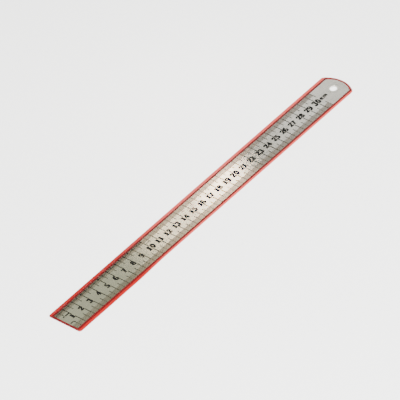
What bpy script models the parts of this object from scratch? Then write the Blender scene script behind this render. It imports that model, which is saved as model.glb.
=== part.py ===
"""A 30 cm stainless steel ruler lying in its red vinyl sleeve.

The sleeve is a flat pocket: a red back sheet and a clear front window, joined by weld seams along
both long edges and across the closed end. The ruler slides in and out of the open mouth at the
hanging-hole end.

Frame: metres, +Z up. The origin is the middle of the underside. +X runs along the scale towards
the hanging hole, and +Y points to the edge that the numerals' tops face.
"""

import math

import bmesh
import bpy

MM = 0.001

# The blade
BLADE_LENGTH = 330.0 * MM
BLADE_WIDTH = 25.0 * MM
BLADE_THICKNESS = 0.7 * MM
BLADE_END_DROP = 5.0 * MM  # how far the corners of the rounded end lie behind its tip
BLADE_END_CORNER_RADIUS = 2.5 * MM
BLADE_ZERO_CORNER_RADIUS = 0.4 * MM
BLADE_EDGE_BREAK = 0.1 * MM
HOLE_DIAMETER = 6.2 * MM
HOLE_FROM_ZERO = 320.5 * MM

# The sleeve
BACK_THICKNESS = 0.3 * MM
WINDOW_THICKNESS = 0.2 * MM
TOP_MARGIN = 4.2 * MM  # sleeve beyond the blade's upper long edge
BOTTOM_MARGIN_WIDE = 2.9 * MM  # beyond its lower edge, near the closed end
BOTTOM_MARGIN_NARROW = 1.9 * MM  # beyond its lower edge, on the rest of the length
TAPER_START = 65.0 * MM  # the lower margin narrows between these two places on the scale
TAPER_END = 100.0 * MM
CLOSED_END_MARGIN = 0.7 * MM
MOUTH_LIP = 2.6 * MM  # sleeve beyond the tip of the blade
MOUTH_ARC_RADIUS = 23.5 * MM
MOUTH_CORNER_RADIUS = 6.0 * MM
CLOSED_CORNER_RADIUS = 2.0 * MM
SLEEVE_HOLE_DIAMETER = 9.0 * MM
SHEET_EDGE_BREAK = 0.05 * MM

# Room between the pieces
GAP = 0.3 * MM  # between faces that touch on the real object
SIDE_PLAY = 0.6 * MM  # between the blade's long edges and the seams
SEAM_MOUTH_SETBACK = 8.0 * MM  # the side seams stop this far behind the tip of the blade

# Fineness of the round stretches
CORNER_STEPS = 6
ARC_STEPS = 28
HOLE_STEPS = 48
TAPER_STEPS = 8
WELD_DISTANCE = 0.001 * MM

# Where the scale's zero and the blade's centre line lie in the object's frame
SLEEVE_LENGTH = CLOSED_END_MARGIN + BLADE_LENGTH + MOUTH_LIP
ZERO_X = CLOSED_END_MARGIN - SLEEVE_LENGTH / 2
CENTRE_Y = (BOTTOM_MARGIN_WIDE - TOP_MARGIN) / 2
BLADE_Z = BACK_THICKNESS + GAP
WINDOW_Z = BLADE_Z + BLADE_THICKNESS + GAP
HALF_WIDTH = BLADE_WIDTH / 2


def clear_scene():
    """Remove whatever the scene holds."""
    for thing in list(bpy.data.objects):
        bpy.data.objects.remove(thing, do_unlink=True)


def make_collection(name):
    """A collection linked to the scene."""
    collection = bpy.data.collections.new(name)
    bpy.context.scene.collection.children.link(collection)
    return collection


def make_material(name, colour, roughness, metallic=0.0, alpha=1.0):
    """A Principled material from its colour, roughness, metallic value and alpha."""
    material = bpy.data.materials.new(name)
    material.use_nodes = True
    shader = material.node_tree.nodes["Principled BSDF"]
    shader.inputs["Base Color"].default_value = (*colour, 1.0)
    shader.inputs["Roughness"].default_value = roughness
    shader.inputs["Metallic"].default_value = metallic
    shader.inputs["Alpha"].default_value = alpha
    return material


def direction(start, end):
    """The unit step from one flat point to another."""
    length = math.dist(start, end)
    return (end[0] - start[0]) / length, (end[1] - start[1]) / length


def round_corner(before, corner, after, radius):
    """Points of the arc that rounds one corner of a flat outline."""
    back = direction(corner, before)
    ahead = direction(corner, after)
    half_angle = math.acos(back[0] * ahead[0] + back[1] * ahead[1]) / 2
    middle = direction((0.0, 0.0), (back[0] + ahead[0], back[1] + ahead[1]))
    reach = radius / math.sin(half_angle)
    centre = (corner[0] + middle[0] * reach, corner[1] + middle[1] * reach)
    run = radius / math.tan(half_angle)
    first = math.atan2(corner[1] + back[1] * run - centre[1], corner[0] + back[0] * run - centre[0])
    last = math.atan2(corner[1] + ahead[1] * run - centre[1], corner[0] + ahead[0] * run - centre[0])
    sweep = math.remainder(last - first, math.tau)
    angles = [first + sweep * step / CORNER_STEPS for step in range(CORNER_STEPS + 1)]
    return [(centre[0] + radius * math.cos(a), centre[1] + radius * math.sin(a)) for a in angles]


def end_arc(tip_x, radius, low_y, high_y, corner_radius):
    """The rounded end of an outline, centred between its long edges, from the lower to the upper."""
    centre_x = tip_x - radius
    centre_y = (low_y + high_y) / 2

    def on_arc(angle):
        return centre_x + radius * math.cos(angle), centre_y + radius * math.sin(angle)

    high_angle = math.asin((high_y - centre_y) / radius)
    low_angle = -high_angle
    clear = corner_radius / radius  # keeps the arc's own points off the rounded corners
    nudge = clear / 10
    low_corner = on_arc(low_angle)
    high_corner = on_arc(high_angle)
    points = round_corner(
        (low_corner[0] - BLADE_WIDTH, low_y), low_corner, on_arc(low_angle + nudge), corner_radius
    )
    start = low_angle + clear
    sweep = high_angle - low_angle - 2 * clear
    points += [on_arc(start + sweep * step / ARC_STEPS) for step in range(ARC_STEPS + 1)]
    points += round_corner(
        on_arc(high_angle - nudge), high_corner, (high_corner[0] - BLADE_WIDTH, high_y), corner_radius
    )
    return points


def square_end(start_x, low_y, high_y, corner_radius):
    """The straight end of an outline, from its upper long edge to its lower one."""
    low = (start_x, low_y)
    high = (start_x, high_y)
    points = round_corner((start_x + BLADE_WIDTH, high_y), high, low, corner_radius)
    points += round_corner(high, low, (start_x + BLADE_WIDTH, low_y), corner_radius)
    return points


def blade_outline():
    """The blade seen from above, with its zero end at x = 0."""
    radius = (HALF_WIDTH**2 + BLADE_END_DROP**2) / (2 * BLADE_END_DROP)
    points = square_end(0.0, -HALF_WIDTH, HALF_WIDTH, BLADE_ZERO_CORNER_RADIUS)
    points += end_arc(BLADE_LENGTH, radius, -HALF_WIDTH, HALF_WIDTH, BLADE_END_CORNER_RADIUS)
    return points


def lower_edge_y(x):
    """The sleeve's lower long edge at a place on the scale: wide near the closed end."""
    share = min(max((x - TAPER_START) / (TAPER_END - TAPER_START), 0.0), 1.0)
    ease = share * share * (3 - 2 * share)
    margin = BOTTOM_MARGIN_WIDE + (BOTTOM_MARGIN_NARROW - BOTTOM_MARGIN_WIDE) * ease
    return -HALF_WIDTH - margin


def lower_edge_points():
    """The points along the stretch where the sleeve's lower margin narrows."""
    stretch = TAPER_END - TAPER_START
    places = [TAPER_START + stretch * step / TAPER_STEPS for step in range(TAPER_STEPS + 1)]
    return [(x, lower_edge_y(x)) for x in places]


def sleeve_outline():
    """The sleeve's sheets seen from above, on the scale's own x."""
    high_y = HALF_WIDTH + TOP_MARGIN
    points = square_end(-CLOSED_END_MARGIN, lower_edge_y(0.0), high_y, CLOSED_CORNER_RADIUS)
    points += lower_edge_points()
    tip_x = BLADE_LENGTH + MOUTH_LIP
    points += end_arc(tip_x, MOUTH_ARC_RADIUS, lower_edge_y(tip_x), high_y, MOUTH_CORNER_RADIUS)
    return points


def circle(centre_x, diameter):
    """A round hole on the centre line."""
    angles = [math.tau * step / HOLE_STEPS for step in range(HOLE_STEPS)]
    return [(centre_x + diameter / 2 * math.cos(a), diameter / 2 * math.sin(a)) for a in angles]


def box_outline(low_x, high_x, low_y, high_y):
    """A rectangle seen from above."""
    return [(low_x, low_y), (high_x, low_y), (high_x, high_y), (low_x, high_y)]


def top_seam_outline():
    """The weld strip beyond the blade's upper long edge."""
    high_y = HALF_WIDTH + TOP_MARGIN
    end_x = BLADE_LENGTH - SEAM_MOUTH_SETBACK
    points = round_corner((end_x, high_y), (-CLOSED_END_MARGIN, high_y), (-CLOSED_END_MARGIN, 0.0),
                          CLOSED_CORNER_RADIUS)
    points += [(-CLOSED_END_MARGIN, HALF_WIDTH + SIDE_PLAY), (end_x, HALF_WIDTH + SIDE_PLAY)]
    points += [(end_x, high_y)]
    return points


def bottom_seam_outline():
    """The weld strip beyond the blade's lower long edge, which narrows with the sleeve."""
    inner_y = -HALF_WIDTH - SIDE_PLAY
    end_x = BLADE_LENGTH - SEAM_MOUTH_SETBACK
    corner = (-CLOSED_END_MARGIN, lower_edge_y(0.0))
    corner_radius = min(CLOSED_CORNER_RADIUS, inner_y - corner[1])
    points = [(-CLOSED_END_MARGIN, inner_y)]
    points += round_corner((-CLOSED_END_MARGIN, 0.0), corner, (end_x, corner[1]), corner_radius)[1:]
    points += lower_edge_points()
    points += [(end_x, lower_edge_y(end_x)), (end_x, inner_y)]
    return points


def end_seam_outline():
    """The narrow weld strip across the closed end, between the two side seams."""
    reach = HALF_WIDTH + SIDE_PLAY - GAP
    return box_outline(-CLOSED_END_MARGIN, -GAP, -reach, reach)


def make_plate(name, outlines, thickness, material, edge_break, parent, collection):
    """A flat piece from its outline and holes, standing on its parent's plane."""
    curve = bpy.data.curves.new(name + "_outline", "CURVE")
    curve.dimensions = "2D"
    curve.fill_mode = "BOTH"
    curve.extrude = thickness / 2
    for outline in outlines:
        spline = curve.splines.new("POLY")
        spline.points.add(len(outline) - 1)
        for point, (x, y) in zip(spline.points, outline):
            point.co = (x, y, 0.0, 1.0)
        spline.use_cyclic_u = True
    guide = bpy.data.objects.new(name + "_outline", curve)
    collection.objects.link(guide)
    bpy.context.view_layer.update()
    mesh = bpy.data.meshes.new_from_object(guide.evaluated_get(bpy.context.evaluated_depsgraph_get()))
    bpy.data.objects.remove(guide, do_unlink=True)
    weld_caps(mesh)
    mesh.name = name
    mesh.materials.clear()
    mesh.materials.append(material)
    plate = bpy.data.objects.new(name, mesh)
    plate.parent = parent
    plate.location.z = thickness / 2
    collection.objects.link(plate)
    add_edge_break(plate, edge_break)
    return plate


def weld_caps(mesh):
    """Join a converted curve's flat faces to its sides, with every face pointing out."""
    work = bmesh.new()
    work.from_mesh(mesh)
    bmesh.ops.remove_doubles(work, verts=work.verts, dist=WELD_DISTANCE)
    bmesh.ops.recalc_face_normals(work, faces=work.faces)
    work.to_mesh(mesh)
    work.free()


def add_edge_break(plate, width):
    """Soften the sharp edges of a plate."""
    bevel = plate.modifiers.new("Edge break", "BEVEL")
    bevel.width = width
    bevel.segments = 1
    bevel.limit_method = "ANGLE"
    bevel.angle_limit = math.radians(50)


def make_empty(name, location, collection):
    """A plain marker that pieces are parented to."""
    empty = bpy.data.objects.new(name, None)
    empty.location = location
    collection.objects.link(empty)
    return empty


def build_blade(collection, steel):
    """The steel blade, whose origin is on its slide axis at the scale's zero."""
    axis = make_empty("ruler_slide_axis", (ZERO_X, CENTRE_Y, BLADE_Z), collection)
    outlines = [blade_outline(), circle(HOLE_FROM_ZERO, HOLE_DIAMETER)]
    make_plate("ruler_blade", outlines, BLADE_THICKNESS, steel, BLADE_EDGE_BREAK, axis, collection)


def build_sheets(collection, red_vinyl, clear_vinyl):
    """The sleeve's back sheet and front window, both punched for hanging."""
    outlines = [sleeve_outline(), circle(HOLE_FROM_ZERO, SLEEVE_HOLE_DIAMETER)]
    floor = make_empty("sleeve_underside", (ZERO_X, CENTRE_Y, 0.0), collection)
    make_plate("sleeve_back_sheet", outlines, BACK_THICKNESS, red_vinyl, SHEET_EDGE_BREAK,
               floor, collection)
    roof = make_empty("window_underside", (ZERO_X, CENTRE_Y, WINDOW_Z), collection)
    make_plate("sleeve_front_window", outlines, WINDOW_THICKNESS, clear_vinyl, SHEET_EDGE_BREAK,
               roof, collection)


def build_seams(collection, red_vinyl):
    """The three weld strips that hold the sheets apart around the blade."""
    level = make_empty("seam_underside", (ZERO_X, CENTRE_Y, BLADE_Z), collection)
    seams = {
        "top_edge_seam": top_seam_outline(),
        "bottom_edge_seam": bottom_seam_outline(),
        "closed_end_seam": end_seam_outline(),
    }
    for name, outline in seams.items():
        make_plate(name, [outline], BLADE_THICKNESS, red_vinyl, SHEET_EDGE_BREAK, level, collection)


def main():
    """Build the whole object."""
    clear_scene()
    collection = make_collection("steel_ruler_in_sleeve")
    steel = make_material("stainless_steel", (0.55, 0.54, 0.50), roughness=0.35, metallic=1.0)
    red_vinyl = make_material("red_vinyl", (0.72, 0.03, 0.03), roughness=0.35)
    clear_vinyl = make_material("clear_vinyl", (0.92, 0.93, 0.93), roughness=0.12, alpha=0.2)
    build_blade(collection, steel)
    build_sheets(collection, red_vinyl, clear_vinyl)
    build_seams(collection, red_vinyl)


main()
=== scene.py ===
"""The looks of a steel ruler in its red vinyl sleeve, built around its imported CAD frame.

Places on the ruler are given in millimetres as (s, c): s runs along the scale from its zero, and
c runs across from the centre line towards the edge that the numerals' tops face. The ruler's other
lengths are in millimetres too, and those of the camera, the lights and the floor say what they are in.
"""

import math

import bmesh
import bpy
from mathutils import Matrix, Vector
from mathutils.geometry import delaunay_2d_cdt


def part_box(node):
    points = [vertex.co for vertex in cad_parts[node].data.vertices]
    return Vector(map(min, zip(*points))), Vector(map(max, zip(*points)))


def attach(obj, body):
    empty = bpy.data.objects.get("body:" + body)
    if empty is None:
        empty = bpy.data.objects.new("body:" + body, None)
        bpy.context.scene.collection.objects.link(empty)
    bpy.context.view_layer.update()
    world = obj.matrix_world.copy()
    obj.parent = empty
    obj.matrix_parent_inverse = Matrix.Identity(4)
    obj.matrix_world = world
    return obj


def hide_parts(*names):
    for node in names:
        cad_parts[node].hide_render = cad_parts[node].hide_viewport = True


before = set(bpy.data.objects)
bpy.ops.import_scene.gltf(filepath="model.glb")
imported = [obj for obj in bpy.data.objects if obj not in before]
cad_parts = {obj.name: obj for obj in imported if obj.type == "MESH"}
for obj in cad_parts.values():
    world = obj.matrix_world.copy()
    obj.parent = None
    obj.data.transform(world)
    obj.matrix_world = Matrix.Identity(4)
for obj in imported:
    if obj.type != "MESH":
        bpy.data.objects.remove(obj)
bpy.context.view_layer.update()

MM = 0.001

# Places read from the CAD frame, in metres
BLADE_LOW, BLADE_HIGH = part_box("ruler_blade")
SHEET_LOW, SHEET_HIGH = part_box("sleeve_back_sheet")
TOP_SEAM_LOW, TOP_SEAM_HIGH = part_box("top_edge_seam")
BOTTOM_SEAM_LOW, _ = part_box("bottom_edge_seam")
ZERO_X = BLADE_LOW.x
CENTRE_Y = (BLADE_LOW.y + BLADE_HIGH.y) / 2

# The same places in millimetres on the ruler
HALF_WIDTH = (BLADE_HIGH.y - CENTRE_Y) / MM
FACE_Z = BLADE_HIGH.z / MM
SLEEVE_START = (SHEET_LOW.x - ZERO_X) / MM
SLEEVE_END = (SHEET_HIGH.x - ZERO_X) / MM
SEAM_INNER = (TOP_SEAM_LOW.y - CENTRE_Y) / MM
TOP_OUTER = (TOP_SEAM_HIGH.y - CENTRE_Y) / MM
BOTTOM_OUTER = (BOTTOM_SEAM_LOW.y - CENTRE_Y) / MM


def at(s, c, z=0.0):
    """A place on the ruler, in metres in the CAD frame."""
    return Vector((ZERO_X + s * MM, CENTRE_Y + c * MM, z * MM))


def held(share):
    """A share kept between 0 and 1."""
    return min(max(share, 0.0), 1.0)


def finished_mesh(work, name):
    """The mesh that a bmesh holds, once it is done."""
    mesh = bpy.data.meshes.new(name)
    work.to_mesh(mesh)
    work.free()
    return mesh


# ---------------------------------------------------------------- camera, floor and lights

CAMERA_AZIMUTH = math.radians(-44.4)
CAMERA_ELEVATION = math.radians(40.8)
CAMERA_ROLL = math.radians(-8.53)
CAMERA_DISTANCE = 3.912  # metres
CAMERA_REACH = 50.0  # metres
CAMERA_LENS = 460.7  # millimetres
CAMERA_TARGET = at(162.0, 3.7, FACE_Z)


def view_axes(azimuth, elevation, roll):
    """The right, up and back directions of something that looks at the object."""
    back = Vector((math.sin(azimuth) * math.cos(elevation),
                   -math.cos(azimuth) * math.cos(elevation),
                   math.sin(elevation)))
    level = Vector((math.cos(azimuth), math.sin(azimuth), 0.0))
    upright = back.cross(level)
    right = level * math.cos(roll) + upright * math.sin(roll)
    up = upright * math.cos(roll) - level * math.sin(roll)
    return right, up, back


def facing(location, axes):
    """The world matrix of a camera or a light at a place, with its right, up and back axes."""
    right, up, back = axes
    turn = Matrix((right, up, back)).transposed()
    return Matrix.Translation(location) @ turn.to_4x4()


def make_camera():
    """A long lens from the lower left, tilted a little, so that the ruler climbs to the right."""
    camera = bpy.data.objects.new("camera", bpy.data.cameras.new("camera"))
    camera.data.lens = CAMERA_LENS
    camera.data.clip_end = CAMERA_REACH
    axes = view_axes(CAMERA_AZIMUTH, CAMERA_ELEVATION, CAMERA_ROLL)
    camera.matrix_world = facing(CAMERA_TARGET + axes[2] * CAMERA_DISTANCE, axes)
    bpy.context.scene.collection.objects.link(camera)
    bpy.context.scene.camera = camera


WHITE = (1.0, 1.0, 1.0)
WARM = (1.0, 0.8, 0.66)
SURROUNDINGS = (0.98, 1.0, 0.9, 1.0)
SURROUNDINGS_STRENGTH = 0.76
MIRRORED = (135.6, 40.8)  # the azimuth and elevation that the flat steel shows to the camera
GLARE_ROLL = -32.6
SOFTBOXES = (  # name, place along the scale, direction, distance, size, watts, colour, roll
    ("front_softbox", 160.0, (-30.0, 55.0), 2.2, (1.8, 1.8), 270.0, WHITE, 0.0),
    ("glare_softbox", 184.0, MIRRORED, 0.2, (0.024, 0.05), 0.075, WARM, GLARE_ROLL),
    ("fading_softbox", 125.0, MIRRORED, 0.3, (0.06, 0.05), 0.046, WARM, GLARE_ROLL),
    ("end_softbox", 305.0, MIRRORED, 0.5, (0.10, 0.10), 0.05, WHITE, GLARE_ROLL),
)
FLOOR_HALF_SIZE = 6.0  # metres
FLOOR_DROP = 0.02  # millimetres under the sleeve


def make_softbox(name, s, direction, distance, size, power, colour, roll):
    """A rectangular area light that faces a place on the ruler's centre line.

    Its direction is an azimuth and an elevation, in degrees. Its distance and size are in metres.
    """
    light = bpy.data.lights.new(name, "AREA")
    light.shape = "RECTANGLE"
    light.size, light.size_y = size
    light.energy = power
    light.color = colour
    softbox = bpy.data.objects.new(name, light)
    softbox.visible_camera = False
    azimuth, elevation = direction
    axes = view_axes(math.radians(azimuth), math.radians(elevation), math.radians(roll))
    softbox.matrix_world = facing(at(s, 0.0) + axes[2] * distance, axes)
    bpy.context.scene.collection.objects.link(softbox)


def make_lights():
    """Even pale surroundings, a large frontal softbox, and three small ones that glare off the steel."""
    world = bpy.data.worlds.new("studio")
    world.use_nodes = True
    surroundings = world.node_tree.nodes["Background"]
    surroundings.inputs["Color"].default_value = SURROUNDINGS
    surroundings.inputs["Strength"].default_value = SURROUNDINGS_STRENGTH
    bpy.context.scene.world = world
    for softbox in SOFTBOXES:
        make_softbox(*softbox)


def make_floor(material):
    """A plain pale floor just under the sleeve."""
    work = bmesh.new()
    bmesh.ops.create_grid(work, x_segments=1, y_segments=1, size=FLOOR_HALF_SIZE)
    mesh = finished_mesh(work, "floor")
    mesh.materials.append(material)
    floor = bpy.data.objects.new("floor", mesh)
    floor.location.z = -FLOOR_DROP * MM
    bpy.context.scene.collection.objects.link(floor)


# ---------------------------------------------------------------- materials

NOISE_LOW = 0.3  # most of a noise texture's values lie between these two
NOISE_HIGH = 0.7
NOISE_ROUGHNESS = 0.55


def grey(value):
    """A grey colour."""
    return (value, value, value)


class Nodes:
    """A material and short ways to add and join its nodes."""

    def __init__(self, name):
        self.material = bpy.data.materials.new(name)
        self.material.use_nodes = True
        self.tree = self.material.node_tree
        self.shader = self.tree.nodes["Principled BSDF"]
        self.output = self.tree.nodes["Material Output"]

    def add(self, kind, **values):
        """A node, with its named inputs set."""
        node = self.tree.nodes.new(kind)
        for name, value in values.items():
            node.inputs[name].default_value = value
        return node

    def join(self, source, target):
        """A link from one socket to another."""
        self.tree.links.new(source, target)

    def position(self, scale):
        """The object's own coordinates, in metres, stretched by a scale."""
        source = self.add("ShaderNodeTexCoord")
        mapping = self.add("ShaderNodeMapping", Scale=scale)
        self.join(source.outputs["Object"], mapping.inputs["Vector"])
        return mapping.outputs["Vector"]

    def way_along(self, axis):
        """How far along the object's box a place is, from 0 to 1, on one of its axes."""
        source = self.add("ShaderNodeTexCoord")
        parts = self.add("ShaderNodeSeparateXYZ")
        self.join(source.outputs["Generated"], parts.inputs["Vector"])
        return parts.outputs[axis]

    def calculate(self, operation, first, second):
        """The result of a sum on a value and a number or another value."""
        node = self.tree.nodes.new("ShaderNodeMath")
        node.operation = operation
        self.join(first, node.inputs[0])
        if isinstance(second, float):
            node.inputs[1].default_value = second
        else:
            self.join(second, node.inputs[1])
        return node.outputs["Value"]

    def noise(self, scale, detail):
        """Smooth noise whose features are 1 / scale metres across, along each axis."""
        node = self.add("ShaderNodeTexNoise", Scale=1.0, Detail=detail, Roughness=NOISE_ROUGHNESS)
        self.join(self.position(scale), node.inputs["Vector"])
        return node.outputs["Fac"]

    def spread(self, source, low, high, start=NOISE_LOW, stop=NOISE_HIGH):
        """A value moved from start..stop to low..high."""
        node = self.add("ShaderNodeMapRange")
        node.inputs["From Min"].default_value = start
        node.inputs["From Max"].default_value = stop
        node.inputs["To Min"].default_value = low
        node.inputs["To Max"].default_value = high
        self.join(source, node.inputs["Value"])
        return node.outputs["Result"]

    def blend(self, source, first, second, start=NOISE_LOW, stop=NOISE_HIGH):
        """A colour that goes from first to second as a value goes from start to stop."""
        node = self.tree.nodes.new("ShaderNodeValToRGB")
        node.color_ramp.elements[0].position = start
        node.color_ramp.elements[0].color = (*first, 1.0)
        node.color_ramp.elements[1].position = stop
        node.color_ramp.elements[1].color = (*second, 1.0)
        self.join(source, node.inputs["Fac"])
        return node.outputs["Color"]

    def tinted(self, colour, tint):
        """A colour multiplied by another."""
        node = self.add("ShaderNodeMixRGB", Fac=1.0)
        node.blend_type = "MULTIPLY"
        self.join(colour, node.inputs["Color1"])
        self.join(tint, node.inputs["Color2"])
        return node.outputs["Color"]

    def shaded(self, colour, source, darkest):
        """A colour that a noise darkens in places, down to a share of itself."""
        return self.tinted(colour, self.blend(source, grey(darkest), WHITE))

    def bump(self, source, depth, below=None):
        """A bumped normal from a height, depth millimetres deep."""
        node = self.add("ShaderNodeBump", Strength=1.0, Distance=depth * MM)
        self.join(source, node.inputs["Height"])
        if below is not None:
            self.join(below, node.inputs["Normal"])
        return node.outputs["Normal"]


STEEL_NEAR_WITH_PAINTED_TINT = (0.69, 0.68, 0.51)  # greener towards the zero, a painted reflection tint
STEEL_FAR = (0.69, 0.655, 0.60)
STEEL_SPAN = (0.2, 0.8)  # shares of the blade's length between which its colour, with its painted reflection tint, changes
FINE_BRUSHING = (45.0, 5200.0, 5200.0)  # features in a metre, along and across
COARSE_BRUSHING = (14.0, 1300.0, 1300.0)
SMUDGES = (60.0, 110.0, 110.0)
ETCHED_MIDDLE = 0.512  # halfway between the two etched scales, as a share of the blade's width
ETCHED_SIDES = (0.288, 0.318)  # where etching begins and is full, as shares of the width from there
ETCHED_STOP = (0.922, 0.926)  # where it fades out past the last graduation, as shares of its length
ETCHED_TINT = (1.0, 0.93, 0.88)
ETCHED_ROUGHNESS = 0.07


def etched_share(nodes, along):
    """1 on the etched scales along both long edges, and 0 on the rest of the blade."""
    offset = nodes.calculate("SUBTRACT", nodes.way_along("Y"), ETCHED_MIDDLE)
    from_middle = nodes.calculate("ABSOLUTE", offset, 0.0)
    sides = nodes.spread(from_middle, 0.0, 1.0, *ETCHED_SIDES)
    return nodes.calculate("MULTIPLY", sides, nodes.spread(along, 1.0, 0.0, *ETCHED_STOP))


def steel_material():
    """Stainless steel brushed along its length, with faint smudges, and greener towards the zero, where
    a reflection tint is painted into its colour.

    The etched scales along both long edges are a little duller and warmer.
    """
    nodes = Nodes("brushed_stainless_steel")
    fine = nodes.noise(FINE_BRUSHING, detail=4.0)
    coarse = nodes.noise(COARSE_BRUSHING, detail=3.0)
    smudge = nodes.noise(SMUDGES, detail=4.0)
    along = nodes.way_along("X")
    etched = etched_share(nodes, along)
    tint = nodes.blend(etched, WHITE, ETCHED_TINT, 0.0, 1.0)
    # the colour change along the blade is a painted reflection tint
    colour = nodes.tinted(nodes.blend(along, STEEL_NEAR_WITH_PAINTED_TINT, STEEL_FAR, *STEEL_SPAN), tint)
    streaked = nodes.shaded(colour, coarse, darkest=0.92)
    nodes.join(nodes.shaded(streaked, smudge, darkest=0.93), nodes.shader.inputs["Base Color"])
    nodes.shader.inputs["Metallic"].default_value = 1.0
    dull = nodes.calculate("MULTIPLY", etched, ETCHED_ROUGHNESS)
    roughness = nodes.calculate("ADD", nodes.spread(smudge, low=0.20, high=0.27), dull)
    nodes.join(roughness, nodes.shader.inputs["Roughness"])
    across = nodes.tree.nodes.new("ShaderNodeTangent")
    across.direction_type = "RADIAL"
    across.axis = "X"
    nodes.join(across.outputs["Tangent"], nodes.shader.inputs["Tangent"])
    nodes.shader.inputs["Anisotropic"].default_value = 0.7
    brushed = nodes.bump(coarse, depth=0.004, below=nodes.bump(fine, depth=0.002))
    nodes.join(brushed, nodes.shader.inputs["Normal"])
    return nodes.material


INK_GRAIN = (2500.0, 2500.0, 2500.0)


def ink_material():
    """Black fill in the etched graduations, a little uneven."""
    nodes = Nodes("black_scale_ink")
    grain = nodes.noise(INK_GRAIN, detail=3.0)
    nodes.join(nodes.blend(grain, grey(0.002), (0.006, 0.006, 0.005)), nodes.shader.inputs["Base Color"])
    nodes.join(nodes.spread(grain, low=0.4, high=0.6), nodes.shader.inputs["Roughness"])
    nodes.shader.inputs["Specular IOR Level"].default_value = 0.05
    return nodes.material


VINYL_THICKNESS = (55.0, 160.0, 160.0)
VINYL_GRAIN = (1900.0, 1900.0, 1900.0)
COLOUR_CHANGE_SPAN = (0.22, 0.42)  # shares of a piece's length between which its colour changes; the weld band's lighter far end is a painted sheen


def vinyl_material(name, near, far, grain_depth, gloss=0.3):
    """Red vinyl with a fine pebbled grain and slow changes of thickness.

    Its colour goes from near, at the end towards the zero, to far. On the weld band the lighter far
    colour is a painted sheen.
    """
    nodes = Nodes(name)
    thickness = nodes.noise(VINYL_THICKNESS, detail=2.0)
    grain = nodes.noise(VINYL_GRAIN, detail=2.0)
    colour = nodes.blend(nodes.way_along("X"), near, far, *COLOUR_CHANGE_SPAN)
    nodes.join(nodes.shaded(colour, thickness, darkest=0.88), nodes.shader.inputs["Base Color"])
    nodes.join(nodes.spread(grain, low=0.25, high=0.4), nodes.shader.inputs["Roughness"])
    nodes.join(nodes.bump(grain, grain_depth), nodes.shader.inputs["Normal"])
    nodes.shader.inputs["Specular IOR Level"].default_value = gloss
    nodes.shader.inputs["Subsurface Weight"].default_value = 0.15
    nodes.shader.inputs["Subsurface Radius"].default_value = (1.0, 0.15, 0.1)
    nodes.shader.inputs["Subsurface Scale"].default_value = 0.4 * MM
    return nodes.material


FILM_RIPPLES = (70.0, 120.0, 120.0)
FILM_HAZE = (400.0, 900.0, 900.0)
FILM_CLEARNESS = (0.985, 0.985, 0.985, 1.0)


def film_material():
    """Clear vinyl film: see-through, with a little gloss that grows where it turns away."""
    nodes = Nodes("clear_vinyl_film")
    ripple = nodes.noise(FILM_RIPPLES, detail=2.0)
    haze = nodes.noise(FILM_HAZE, detail=3.0)
    clear = nodes.add("ShaderNodeBsdfTransparent", Color=FILM_CLEARNESS)
    turned = nodes.add("ShaderNodeLayerWeight", Blend=0.5)
    sheen = nodes.tree.nodes.new("ShaderNodeMixShader")
    normal = nodes.bump(ripple, depth=0.03)
    nodes.join(normal, turned.inputs["Normal"])
    nodes.join(normal, nodes.shader.inputs["Normal"])
    nodes.join(nodes.blend(haze, grey(0.03), grey(0.06)), nodes.shader.inputs["Base Color"])
    nodes.join(nodes.spread(haze, low=0.18, high=0.28), nodes.shader.inputs["Roughness"])
    gloss = nodes.spread(turned.outputs["Facing"], low=0.01, high=0.2, start=0.5, stop=1.0)
    nodes.join(gloss, sheen.inputs["Fac"])
    nodes.join(clear.outputs["BSDF"], sheen.inputs[1])
    nodes.join(nodes.shader.outputs["BSDF"], sheen.inputs[2])
    nodes.join(sheen.outputs["Shader"], nodes.output.inputs["Surface"])
    return nodes.material


CARD_FIBRES = (300.0, 300.0, 300.0)


def floor_material():
    """Plain matt white card."""
    nodes = Nodes("white_card")
    fibre = nodes.noise(CARD_FIBRES, detail=2.0)
    nodes.join(nodes.blend(fibre, grey(0.88), grey(0.9)), nodes.shader.inputs["Base Color"])
    nodes.shader.inputs["Roughness"].default_value = 0.9
    return nodes.material


# ---------------------------------------------------------------- flat marks on the blade

MARK_SINK = 0.02  # the marks start this far inside the steel, so that no gap shows under them
MARK_RISE = 0.012  # above the steel
GROUP_RISE = 0.001  # each group of marks stands this much above the one before it
INSIDE_ONLY = 1  # what the triangulation keeps: whatever lies inside an outline
MERGE_DISTANCE = 1e-5
FLAT_ANGLE = math.radians(1)


def new_piece(name, mesh, material, body):
    """An object for a mesh, which rides on a body and takes its finish from a slot."""
    mesh.materials.clear()
    mesh.materials.append(material)
    piece = bpy.data.objects.new(name, mesh)
    bpy.context.scene.collection.objects.link(piece)
    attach(piece, body)
    return piece


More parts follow.
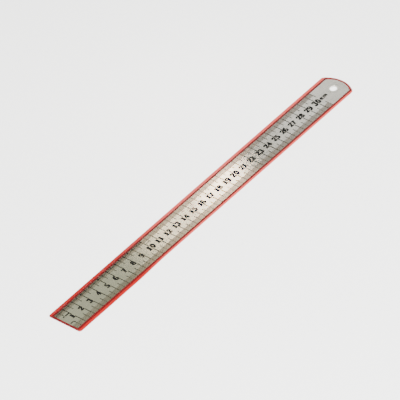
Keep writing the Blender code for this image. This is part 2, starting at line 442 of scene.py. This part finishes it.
def marks_mesh(name, polygons, rise):
    """A thin closed slab that covers every polygon, where they overlap too.

    A polygon is a list of (s, c) that goes round anticlockwise.
    """
    points = []
    faces = []
    for polygon in polygons:
        first = len(points)
        points += [Vector(point) for point in polygon]
        faces.append(list(range(first, len(points))))
    cut = delaunay_2d_cdt(points, [], faces, INSIDE_ONLY, MERGE_DISTANCE)
    flat, _, triangles, _, _, sources = cut
    work = bmesh.new()
    corners = [work.verts.new(at(point.x, point.y, FACE_Z - MARK_SINK)) for point in flat]
    for triangle, covered_by in zip(triangles, sources):
        if covered_by:  # the others fill the counters of closed letters
            work.faces.new([corners[i] for i in triangle])
    loose = [vert for vert in work.verts if not vert.link_faces]
    bmesh.ops.delete(work, geom=loose, context="VERTS")
    bmesh.ops.dissolve_limit(work, angle_limit=FLAT_ANGLE, verts=work.verts, edges=work.edges)
    raised = bmesh.ops.extrude_face_region(work, geom=work.faces[:])["geom"]
    lift = Vector((0.0, 0.0, (MARK_SINK + rise) * MM))
    bmesh.ops.translate(work, vec=lift, verts=[v for v in raised if isinstance(v, bmesh.types.BMVert)])
    bmesh.ops.recalc_face_normals(work, faces=work.faces)
    return finished_mesh(work, name)


def bar(low_s, high_s, low_c, high_c):
    """A rectangle on the ruler."""
    return [(low_s, low_c), (high_s, low_c), (high_s, high_c), (low_s, high_c)]


CENTIMETRE = 10
HALF_CENTIMETRE = 5
HALF_MILLIMETRE = 0.5
SCALE_END = 305  # the last whole millimetre
HALF_MM_END = 100  # where the half millimetres end
CM_TICK = (9.9, 0.72)  # length and width
HALF_CM_TICK = (7.5, 0.62)
MM_TICK = (4.8, 0.43)
HALF_MM_TICK = (2.9, 0.24)
LOWER_EXTRA = 0.6  # the lower graduations are this much longer


def tick(s, size, side):
    """One graduation line, from a long edge inwards. side is 1 for the upper edge, -1 for the lower."""
    length, width = size
    edge = side * HALF_WIDTH
    inner = side * (HALF_WIDTH - length)
    return bar(s - width / 2, s + width / 2, min(edge, inner), max(edge, inner))


def tick_size(place):
    """The size of the graduation at a whole millimetre."""
    if place % CENTIMETRE == 0:
        return CM_TICK
    if place % HALF_CENTIMETRE == 0:
        return HALF_CM_TICK
    return MM_TICK


def edge_scale(side, extra=0.0):
    """The millimetre graduations along one edge. The zero itself is the blade's end."""
    sizes = [(place, *tick_size(place)) for place in range(1, SCALE_END + 1)]
    return [tick(place, (length + extra, width), side) for place, length, width in sizes]


def half_millimetres():
    """The extra half-millimetre graduations at the start of the upper edge."""
    return [tick(place + HALF_MILLIMETRE, HALF_MM_TICK, 1) for place in range(HALF_MM_END)]


# ---------------------------------------------------------------- numerals
#
# Each glyph is a list of polygons of (x, y), which may overlap. A numeral stands on y = 0, is 1 high
# and about 0.61 wide, and is stretched to its real size where it is placed.

NIB_THICK = 0.165  # half the width of an upright stroke
NIB_THIN = 0.12  # half the width of a level stroke
NIB_RING = 0.14  # half the width of the upright parts of a closed round stroke
NIB_EASE = 1.5  # how quickly a stroke thins as it turns level
ARC_POINTS = 14
RING_POINTS = 24
DISC_POINTS = 12


def arc(centre, radii, start, stop, points=ARC_POINTS):
    """Points on an ellipse, with its angles in degrees."""
    angles = [math.radians(start + (stop - start) * i / (points - 1)) for i in range(points)]
    return [(centre[0] + radii[0] * math.cos(a), centre[1] + radii[1] * math.sin(a)) for a in angles]


def loop(centre, radii, points):
    """Points all the way round an ellipse."""
    return arc(centre, radii, 0, 360 - 360 / points, points)


def disc(centre, radius):
    """A round terminal."""
    return loop(centre, (radius, radius), DISC_POINTS)


def nib_offsets(path, closed, thick, thin):
    """The left and right edges of a stroke drawn with a broad pen held level."""
    edges = []
    count = len(path)
    for i, (x, y) in enumerate(path):
        before = path[i - 1] if closed or i > 0 else path[i]
        after = path[(i + 1) % count] if closed or i < count - 1 else path[i]
        run, rise = after[0] - before[0], after[1] - before[1]
        length = math.hypot(run, rise)
        width = thin + (thick - thin) * (abs(rise) / length) ** NIB_EASE
        across, along = -rise / length * width, run / length * width
        edges.append(((x + across, y + along), (x - across, y - along)))
    return edges


def anticlockwise(corners):
    """The corners of a convex polygon, put in anticlockwise order."""
    middle_x = sum(x for x, _ in corners) / len(corners)
    middle_y = sum(y for _, y in corners) / len(corners)
    return sorted(corners, key=lambda corner: math.atan2(corner[1] - middle_y, corner[0] - middle_x))


def stroke(path, closed=False, thick=NIB_THICK, thin=NIB_THIN):
    """A pen stroke as a run of four-sided pieces."""
    edges = nib_offsets(path, closed, thick, thin)
    pairs = list(zip(edges, edges[1:]))
    if closed:
        pairs.append((edges[-1], edges[0]))
    return [anticlockwise(edge + following) for edge, following in pairs]


def ring(centre, radii):
    """A closed round stroke, a little lighter than the others so that its middle stays open."""
    return stroke(loop(centre, radii, RING_POINTS), closed=True, thick=NIB_RING, thin=NIB_THIN)


def glyph_0():
    return ring((0.32, 0.50), (0.185, 0.42))


def glyph_1():
    flag = [(0.02, 0.74), (0.25, 0.78), (0.38, 1.0), (0.26, 1.0)]
    return [bar(0.13, 0.50, 0.0, 1.0), bar(0.02, 0.61, 0.0, 0.16), flag]


def glyph_2():
    bowl = arc((0.29, 0.72), (0.19, 0.20), 165, -25)
    slope = [bowl[-1], (0.36, 0.46), (0.22, 0.30), (0.10, 0.12)]
    base = [(0.0, 0.0), (0.57, 0.0), (0.62, 0.34), (0.54, 0.34), (0.48, 0.26), (0.0, 0.26)]
    return [*stroke(bowl), *stroke(slope, thick=0.15, thin=0.09), base, disc((0.13, 0.72), 0.1)]


def glyph_3():
    top = arc((0.28, 0.745), (0.18, 0.22), 160, -85)
    foot = arc((0.27, 0.275), (0.20, 0.245), 88, -160)
    return [*stroke(top), *stroke(foot), disc((0.13, 0.75), 0.09), disc((0.11, 0.22), 0.1)]


def glyph_4():
    slope = [(0.44, 0.98), (0.24, 0.64), (0.03, 0.31)]
    cross = bar(0.0, 0.64, 0.20, 0.36)
    return [bar(0.27, 0.57, 0.0, 1.0), cross, bar(0.19, 0.64, 0.0, 0.1), *stroke(slope, thick=0.1)]


def glyph_5():
    bowl = arc((0.27, 0.31), (0.21, 0.28), 135, -155)
    top = [(0.07, 1.0), (0.08, 0.78), (0.50, 0.78), (0.57, 1.0)]
    back = [(0.07, 0.42), (0.19, 0.46), (0.21, 1.0), (0.07, 1.0)]
    return [*stroke(bowl), top, back, disc((0.11, 0.20), 0.1)]


def glyph_6():
    spine = arc((0.37, 0.48), (0.27, 0.49), 70, 200)
    return [*stroke(spine), *ring((0.31, 0.29), (0.21, 0.24)), disc((0.45, 0.83), 0.11)]


def glyph_7():
    slope = [(0.51, 0.93), (0.38, 0.62), (0.28, 0.34), (0.25, 0.0)]
    top = [(0.02, 0.66), (0.10, 0.66), (0.15, 0.80), (0.60, 0.82), (0.60, 1.0), (0.04, 1.0)]
    return [*stroke(slope, thick=0.16, thin=0.08), top]


def glyph_8():
    return [*ring((0.32, 0.74), (0.165, 0.20)), *ring((0.32, 0.27), (0.185, 0.22))]


def glyph_9():
    """A 6 turned upside down about its own middle."""
    middle_x, middle_y = 0.31, 0.5
    return [[(2 * middle_x - x, 2 * middle_y - y) for x, y in polygon] for polygon in glyph_6()]


def glyph_c():
    """A small letter, half as high as a numeral."""
    opening = arc((0.27, 0.25), (0.18, 0.21), 45, 320)
    return [*stroke(opening, thick=0.165, thin=0.13), disc((0.37, 0.38), 0.12)]


def glyph_m():
    """A small letter: three stems on feet, joined by two arches."""
    stem, foot, arch = 0.21, 0.24, 0.135
    pieces = [bar(x, x + stem, 0.0, 0.48) for x in (0.01, 0.28, 0.55)]
    pieces += [bar(x, x + foot, 0.0, 0.1) for x in (0.0, 0.27, 0.54)]
    for start in (0.11, 0.38):
        pieces += stroke(arc((start + arch, 0.37), (arch, 0.11), 180, 0), thick=0.1, thin=0.1)
    return pieces


DIGITS = (glyph_0, glyph_1, glyph_2, glyph_3, glyph_4, glyph_5, glyph_6, glyph_7, glyph_8, glyph_9)
GLYPH_WIDTH = 0.61
NUMERAL_CELL = (5.52, 4.8)  # the lengths that 1 in x and 1 in y become on the blade
BIG_NUMERAL_CELL = (5.8, 5.4)  # for 10, 20 and 30
NUMERAL_CENTRE = 0.45  # across the blade
DIGIT_STEP = 3.45  # from one digit's middle to the next one's
BIG_DIGIT_STEP = 3.9
SINGLE_DIGIT_SHIFT = -1.3  # a lone digit stands on the left of its graduation
LAST_NUMBER = 30
UNIT_START = 306.6  # the middle of the first letter
UNIT_STEP = 3.1
UNIT_LOW = -1.2
UNIT_CELL = (5.75, 5.0)


def placed(glyph, middle, low_c, cell):
    """A glyph's polygons at its size and place on the blade."""
    width, height = cell
    start = middle - GLYPH_WIDTH / 2 * width
    return [[(start + x * width, low_c + y * height) for x, y in polygon] for polygon in glyph]


def number_marks(number):
    """A number at its graduation: tens on the left of the line, units on the right."""
    big = number % 10 == 0
    cell = BIG_NUMERAL_CELL if big else NUMERAL_CELL
    step = BIG_DIGIT_STEP if big else DIGIT_STEP
    shifts = (SINGLE_DIGIT_SHIFT,) if number < 10 else (-step / 2, step / 2)
    low_c = NUMERAL_CENTRE - cell[1] / 2
    marks = []
    for shift, digit in zip(shifts, str(number)):
        marks += placed(DIGITS[int(digit)](), number * CENTIMETRE + shift, low_c, cell)
    return marks


def unit_marks():
    """The small unit after the last number."""
    marks = placed(glyph_c(), UNIT_START, UNIT_LOW, UNIT_CELL)
    marks += placed(glyph_m(), UNIT_START + UNIT_STEP, UNIT_LOW, UNIT_CELL)
    return marks


HOOK_NIB = 0.5


def scale_pointers():
    """Plain bars and a hook at the start of each scale, and a bar where the half millimetres end."""
    upper = [bar(5.6, 10.2, 4.3, 5.4), bar(3.2, 4.4, 4.3, 5.4)]
    hook = [(1.6, -4.0), (3.6, -4.0), (4.9, -4.5), (5.3, -5.7)]
    lower = stroke(hook, thick=HOOK_NIB, thin=HOOK_NIB)
    half_end = [bar(101.2, 105.0, 6.1, 6.7)]
    return upper + lower + half_end


def make_marks():
    """Every black mark on the blade."""
    ink = ink_material()
    numbers = [mark for number in range(1, LAST_NUMBER + 1) for mark in number_marks(number)]
    groups = {
        "upper_graduations": edge_scale(1),
        "half_millimetre_graduations": half_millimetres(),
        "lower_graduations": edge_scale(-1, LOWER_EXTRA),
        "numerals": numbers,
        "unit_letters": unit_marks(),
        "scale_pointers": scale_pointers(),
    }
    for order, (name, polygons) in enumerate(groups.items()):
        mesh = marks_mesh(name, polygons, MARK_RISE + GROUP_RISE * order)
        new_piece(name, mesh, ink, "ruler")


# ---------------------------------------------------------------- the sleeve

TAPER_START = 65.0  # the sleeve's lower margin narrows between these two places
TAPER_END = 100.0
BOTTOM_MARGIN_WIDE = -HALF_WIDTH - BOTTOM_OUTER
BOTTOM_MARGIN_NARROW = 1.9
CLOSED_CORNER_RADIUS = 2.0
INNER_CORNER_RADIUS = 0.4
CORNER_POINTS = 9
CORNER_GAP = 2  # degrees from a corner's first and last points to the straight sides
STATION_STEP = 0.4  # from one cross-section of a strip to the next
RIDGE_STATIONS = 3  # stations between one ridge and the next
RIDGE_HEIGHT = 0.04

# Edges of the strips: across from the centre line, and with _S along the scale
LINE_INNER = HALF_WIDTH + 0.12
LINE_OUTER_TOP = SEAM_INNER + 0.8
LINE_OUTER_BOTTOM = SEAM_INNER + 0.15
LINE_INNER_S = -0.12
LINE_OUTER_S = -0.68
LIP_INNER = HALF_WIDTH - 0.55  # the lip laps over the blade's edge
LIP_OUTER = HALF_WIDTH + 0.3
LIP_INNER_S = 0.5
LIP_OUTER_S = -0.5
BAND_INNER = SEAM_INNER + 0.2
BAND_INNER_S = -0.5

BAND_END = 327.0  # where the welds meet the rounded mouth
MOUTH_RADIUS = 23.5
MOUTH_CENTRE = (TOP_OUTER - HALF_WIDTH - BOTTOM_MARGIN_NARROW) / 2
MOUTH_INSET = 0.45
HEM_INSETS = (2.3, 0.3)  # from the mouth's edge to the hem's inner and outer edges
HEM_SWEEP = 38  # degrees to each side
HEM_POINTS = 60


def mouth_half_width(s):
    """How far the rounded mouth lets the welds reach from its centre, a little inside its edge."""
    along = s - (SLEEVE_END - MOUTH_RADIUS)
    if along <= 0:
        return MOUTH_RADIUS
    return math.sqrt(MOUTH_RADIUS**2 - along * along) - MOUTH_INSET


def top_outer(s):
    """The sleeve's upper long edge."""
    return min(TOP_OUTER, MOUTH_CENTRE + mouth_half_width(s))


def bottom_outer(s):
    """The sleeve's lower long edge, which narrows away from the closed end."""
    share = held((s - TAPER_START) / (TAPER_END - TAPER_START))
    ease = share * share * (3 - 2 * share)
    margin = BOTTOM_MARGIN_WIDE + (BOTTOM_MARGIN_NARROW - BOTTOM_MARGIN_WIDE) * ease
    return max(-HALF_WIDTH - margin, MOUTH_CENTRE - mouth_half_width(s))


def pocket_path(start_s, top_c, bottom_c, radius):
    """Points round the pocket: its upper side from the mouth, its closed end, and its lower side.

    top_c and bottom_c are functions of s, as the sides needn't be straight.
    """
    count = int((BAND_END - CLOSED_CORNER_RADIUS) / STATION_STEP)
    places = [BAND_END - i * STATION_STEP for i in range(count + 1)]
    top = [(s, top_c(s)) for s in places]
    bottom = [(s, bottom_c(s)) for s in reversed(places)]
    corners = []
    for middle_c, start in ((top_c(start_s) - radius, 90), (bottom_c(start_s) + radius, 180)):
        corners += arc((start_s + radius, middle_c), (radius, radius),
                       start + CORNER_GAP, start + 90 - CORNER_GAP, CORNER_POINTS)
    return top + corners + bottom


def straight_path(start_s, top_c, bottom_c):
    """Points round the pocket at fixed distances from the centre line."""
    return pocket_path(start_s, lambda s: top_c, lambda s: bottom_c, INNER_CORNER_RADIUS)


# Cross-sections of the strips: share of the way out, height, share of the ridges
BAND_PROFILE = (
    (0.0, 0.25, 0.0),
    (0.0, 0.92, 0.0),
    (0.16, 1.02, 0.2),
    (0.42, 0.98, 0.8),
    (0.72, 0.80, 1.0),
    (0.92, 0.56, 0.4),
    (1.0, 0.36, 0.0),
    (1.0, 0.25, 0.0),
)
LINE_PROFILE = (
    (0.0, 0.32, 0.0),
    (0.0, 1.39, 0.0),
    (0.3, 1.4, 0.0),
    (0.65, 1.24, 0.0),
    (0.9, 1.08, 0.0),
    (1.0, 0.9, 0.0),
    (1.0, 0.32, 0.0),
)
LIP_PROFILE = (
    (0.0, 1.38, 0.0),
    (0.1, 1.46, 0.0),
    (0.4, 1.5, 0.0),
    (0.8, 1.47, 0.0),
    (1.0, 1.41, 0.0),
    (1.0, 1.38, 0.0),
)
HEM_PROFILE = (
    (0.0, 0.28, 0.0),
    (0.1, 0.44, 0.0),
    (0.5, 0.52, 0.0),
    (0.9, 0.44, 0.0),
    (1.0, 0.28, 0.0),
)


def loft_mesh(name, inner_path, outer_path, profile):
    """A strip between two paths, with the profile as its cross-section and fine ridges across it."""
    work = bmesh.new()
    rings = []
    for index, (inner, outer) in enumerate(zip(inner_path, outer_path)):
        ridge = RIDGE_HEIGHT * math.cos(math.tau * index / RIDGE_STATIONS)
        section = []
        for share, height, ridged in profile:
            s = inner[0] + (outer[0] - inner[0]) * share
            c = inner[1] + (outer[1] - inner[1]) * share
            section.append(work.verts.new(at(s, c, height + ridge * ridged)))
        rings.append(section)
    for section, following in zip(rings, rings[1:]):
        for i in range(len(section)):
            j = (i + 1) % len(section)
            work.faces.new((section[i], section[j], following[j], following[i]))
    work.faces.new(rings[0])
    work.faces.new(rings[-1])
    bmesh.ops.recalc_face_normals(work, faces=work.faces)
    mesh = finished_mesh(work, name)
    mesh.shade_smooth()
    return mesh


def make_strip(name, inner, outer, profile, material):
    """A welded strip between two paths."""
    return new_piece(name, loft_mesh(name, inner, outer, profile), material, "sleeve")


def make_band(material):
    """The welded band round the pocket's three closed sides."""
    inner = straight_path(BAND_INNER_S, BAND_INNER, -BAND_INNER)
    outer = pocket_path(SLEEVE_START, top_outer, bottom_outer, CLOSED_CORNER_RADIUS)
    band = make_strip("weld_band", inner, outer, BAND_PROFILE, material)
    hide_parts("top_edge_seam", "bottom_edge_seam", "closed_end_seam")


def make_inner_line(material):
    """A dark strip along the weld's inner edge, in painted shade of the gap between the blade and the
    weld.
    """
    inner = straight_path(LINE_INNER_S, LINE_INNER, -LINE_INNER)
    outer = straight_path(LINE_OUTER_S, LINE_OUTER_TOP, -LINE_OUTER_BOTTOM)
    make_strip("painted_shade_inner_line", inner, outer, LINE_PROFILE, material)


def make_lip(material):
    """A thin strip in the same painted shade, which laps over the edges of the blade just clear of its
    face.
    """
    inner = straight_path(LIP_INNER_S, LIP_INNER, -LIP_INNER)
    outer = straight_path(LIP_OUTER_S, LIP_OUTER, -LIP_OUTER)
    make_strip("painted_shade_lip", inner, outer, LIP_PROFILE, material)


def make_mouth_hem(material):
    """A low ridge pressed into the back sheet just inside the edge of its rounded mouth, in a darker red
    that is painted shade beyond the blade's end.
    """
    centre = (SLEEVE_END - MOUTH_RADIUS, MOUTH_CENTRE)
    inner, outer = (
        arc(centre, (MOUTH_RADIUS - inset, MOUTH_RADIUS - inset), -HEM_SWEEP, HEM_SWEEP, HEM_POINTS)
        for inset in HEM_INSETS
    )
    make_strip("mouth_hem", inner, outer, HEM_PROFILE, material)


FILM_EDGE = SEAM_INNER + 0.5  # across from the centre line
FILM_START = SLEEVE_START + 0.05
FILM_TIP = SLEEVE_END - 1.8
FILM_ARC_RADIUS = 23.0
FILM_COLUMNS = 160
FILM_ROWS = 36
FILM_REST = 1.6  # its height over the blade
FILM_EDGE_Z = 1.25  # its height at the welds
FILM_SHOULDER = 0.8  # how far in from the welds it rises
FILM_THICKNESS = 0.1
WAVE_HEIGHT = 0.02
SHORT_WAVE = (9.0, 6.0)  # millimetres for each radian, along and across
LONG_WAVE = (41.0, 4.0)
LONG_WAVE_SHARE = 0.5
SWELL_LENGTH = 23.0  # the short waves swell and fade over this many millimetres for each radian
SWELL_START = 0.7
HOLE_S = 320.5  # the middle of the hanging holes
FILM_HOLE_RADIUS = 4.5
HOLE_SIDES = 64
PUNCH_DEPTH = 6


def wave(s, c, lengths):
    """A smooth wave between -1 and 1, slanting across the sleeve."""
    return math.sin(s / lengths[0] + c / lengths[1])


def film_height(s, c):
    """How high the film lies: flat over the blade, down to the weld at its edges, and a little wavy."""
    inset = min(FILM_EDGE - abs(c), s - FILM_START)
    rise = math.sin(held(inset / FILM_SHOULDER) * math.pi / 2)
    swelling = wave(s, c, SHORT_WAVE) * math.sin(s / SWELL_LENGTH - SWELL_START)
    waves = swelling + LONG_WAVE_SHARE * wave(s, c, LONG_WAVE)
    return FILM_EDGE_Z + (FILM_REST - FILM_EDGE_Z) * rise + WAVE_HEIGHT * waves * rise


def film_mesh():
    """A grid of the clear front, whose open end follows the sleeve's rounded mouth."""
    work = bmesh.new()
    columns = []
    for i in range(FILM_COLUMNS + 1):
        column = []
        for j in range(FILM_ROWS + 1):
            c = FILM_EDGE * math.sin(math.pi * (j / FILM_ROWS - 0.5))  # closer rows near the welds
            mouth = FILM_TIP - FILM_ARC_RADIUS + math.sqrt(FILM_ARC_RADIUS**2 - (c - MOUTH_CENTRE) ** 2)
            s = FILM_START + (mouth - FILM_START) * i / FILM_COLUMNS
            column.append(work.verts.new(at(s, c, film_height(s, c))))
        columns.append(column)
    for column, following in zip(columns, columns[1:]):
        for j in range(FILM_ROWS):
            work.faces.new((column[j], following[j], following[j + 1], column[j + 1]))
    mesh = finished_mesh(work, "front_film")
    mesh.shade_smooth()
    return mesh


def punch_hole(piece):
    """Cut the round hanging hole through a sheet, and make its modifiers part of its mesh."""
    bpy.ops.mesh.primitive_cylinder_add(vertices=HOLE_SIDES, radius=FILM_HOLE_RADIUS * MM,
                                        depth=PUNCH_DEPTH * MM, location=at(HOLE_S, 0.0, FILM_REST))
    punch = bpy.context.object
    cut = piece.modifiers.new("Hanging hole", "BOOLEAN")
    cut.object = punch
    cut.solver = "EXACT"
    graph = bpy.context.evaluated_depsgraph_get()
    finished = bpy.data.meshes.new_from_object(piece.evaluated_get(graph))
    piece.modifiers.clear()
    piece.data = finished
    bpy.data.objects.remove(punch, do_unlink=True)


def make_film(material):
    """The clear front film, punched for hanging."""
    film = new_piece("front_film", film_mesh(), material, "sleeve")
    thicken = film.modifiers.new("Film thickness", "SOLIDIFY")
    thicken.thickness = FILM_THICKNESS * MM
    thicken.offset = 0.0
    punch_hole(film)
    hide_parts("sleeve_front_window")


DEEP_RED = (0.22, 0.001, 0.001)
SHEET_FAR_RED = (0.30, 0.014, 0.011)
# the weld band's lighter far colour is a painted sheen
WELD_FAR_SHEEN_RED = (0.40, 0.04, 0.032)
# dark maroon: painted shade of the gap between the blade's edges and the weld
PAINTED_SHADE_MAROON = (0.085, 0.005, 0.006)
FAR_PAINTED_SHADE_MAROON = (0.085, 0.012, 0.012)
# the hem's darker reds are painted shade beyond the blade's end
HEM_CORNER_SHADE_RED = (0.17, 0.008, 0.006)
HEM_TIP_SHADE_RED = (0.14, 0.006, 0.006)


def make_sleeve():
    """The red back and welds, and the clear front."""
    back = vinyl_material("red_vinyl_sheet", DEEP_RED, SHEET_FAR_RED, grain_depth=0.01)
    # the weld band lightens away from the zero as a painted sheen
    weld = vinyl_material("red_vinyl_weld_painted_sheen", DEEP_RED, WELD_FAR_SHEEN_RED, grain_depth=0.006)
    # the weld line and lip are painted shade of the gap along the blade's edges
    line = vinyl_material("painted_shade_weld_line", PAINTED_SHADE_MAROON, FAR_PAINTED_SHADE_MAROON, grain_depth=0.004, gloss=0.05)
    # the hem's darker red is painted shade beyond the blade's end
    hem = vinyl_material("red_vinyl_hem_painted_shade", HEM_CORNER_SHADE_RED, HEM_TIP_SHADE_RED, grain_depth=0.006)
    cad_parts["sleeve_back_sheet"].material_slots[0].material = back
    make_band(weld)
    make_inner_line(line)
    make_lip(line)
    make_mouth_hem(hem)
    make_film(film_material())


make_camera()
make_lights()
make_floor(floor_material())
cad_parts["ruler_blade"].material_slots[0].material = steel_material()
make_marks()
make_sleeve()
